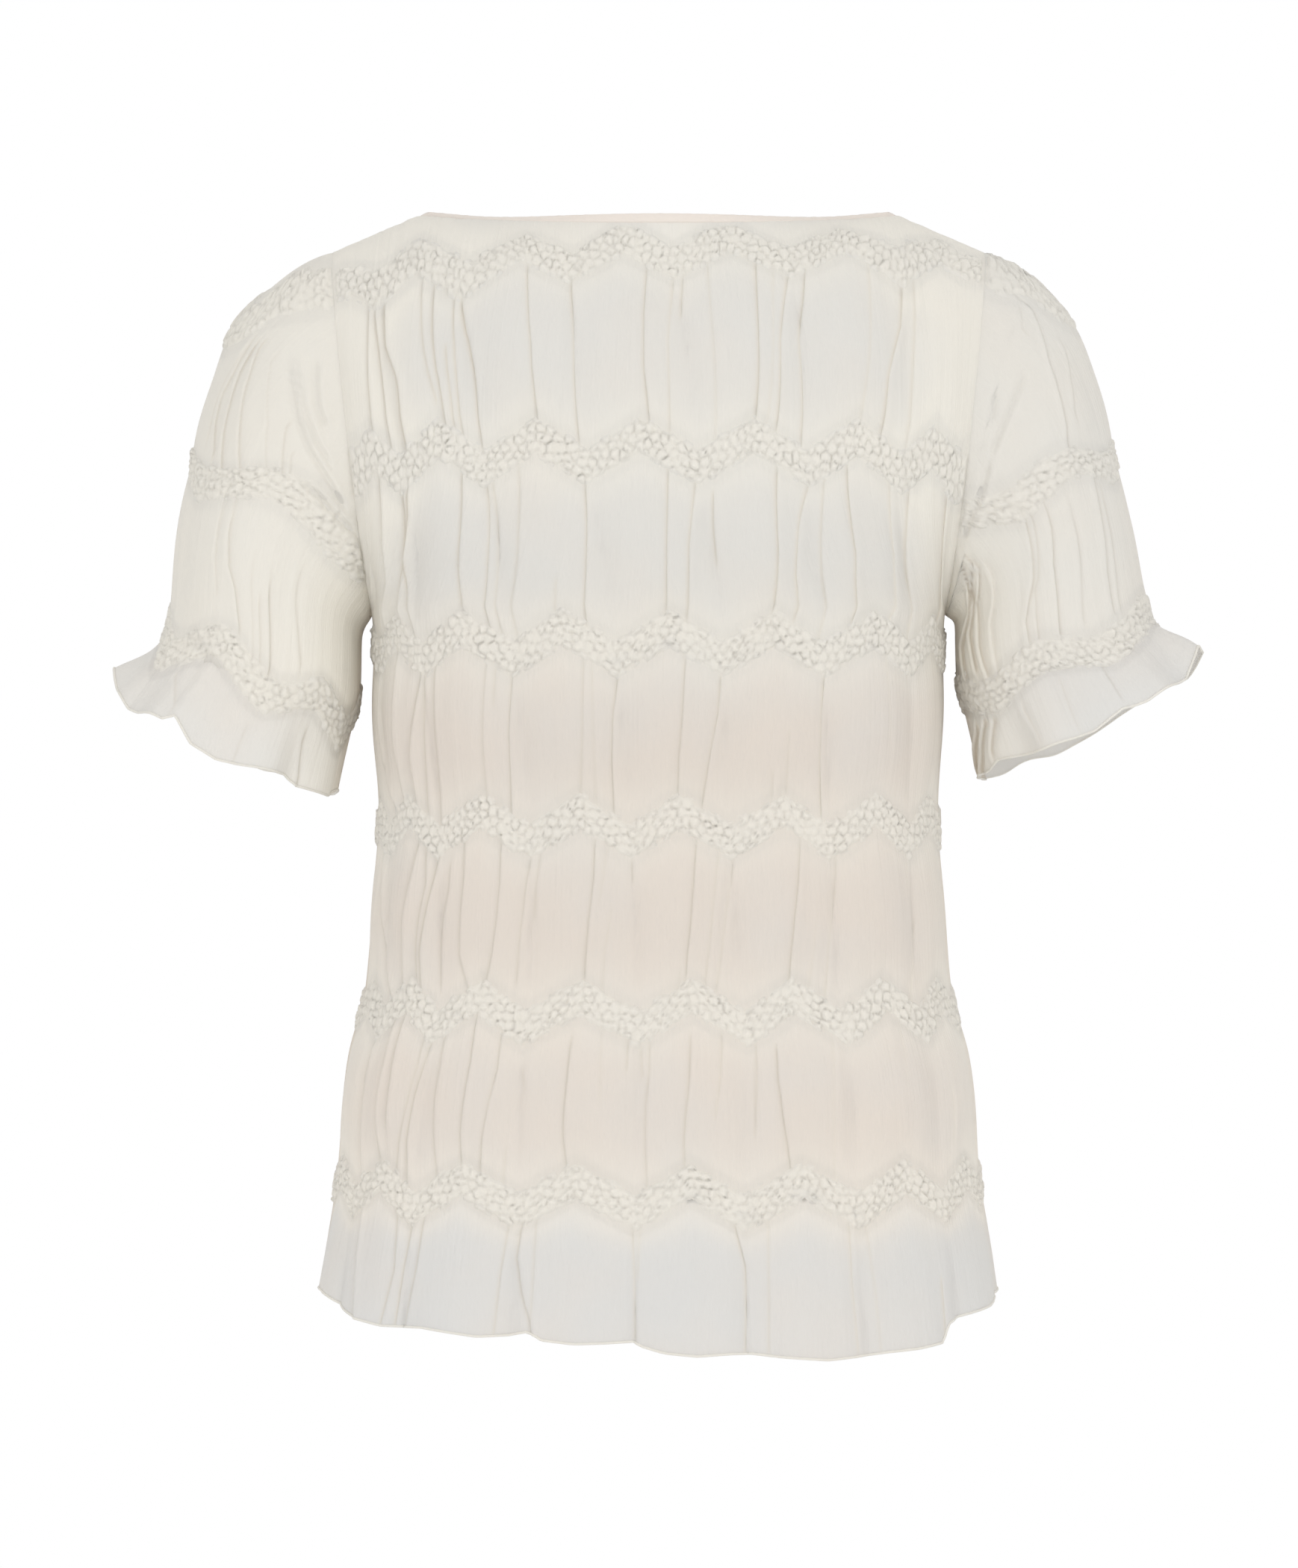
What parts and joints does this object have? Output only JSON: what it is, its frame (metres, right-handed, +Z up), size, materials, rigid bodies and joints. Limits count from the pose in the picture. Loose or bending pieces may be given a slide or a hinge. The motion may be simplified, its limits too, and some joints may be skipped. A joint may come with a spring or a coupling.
{
  "type": "smocked short-sleeved top",
  "caption": "Worn form of a thin smocked top with short ruffled sleeves, a wide boat neck and a free hem, hollow and open at neck, cuffs and hem.",
  "frame": {"origin": "middle of the neck opening, at the height where the wearer's shoulders carry the top", "axes": "+Z up along the body, -Y out of the back, +X to the wearer's right"},
  "size_m": [0.5778, 0.2343, 0.5985],
  "materials": {
    "smocked_cloth": "matte crinkled chiffon",
    "binding_cloth": "matte smooth chiffon"
  },
  "bodies": {
    "root": {"back": "smocked_cloth", "front": "smocked_cloth", "sleeve_left": "smocked_cloth", "sleeve_right": "smocked_cloth", "neck_binding": "binding_cloth"}
  },
  "joints": []
}
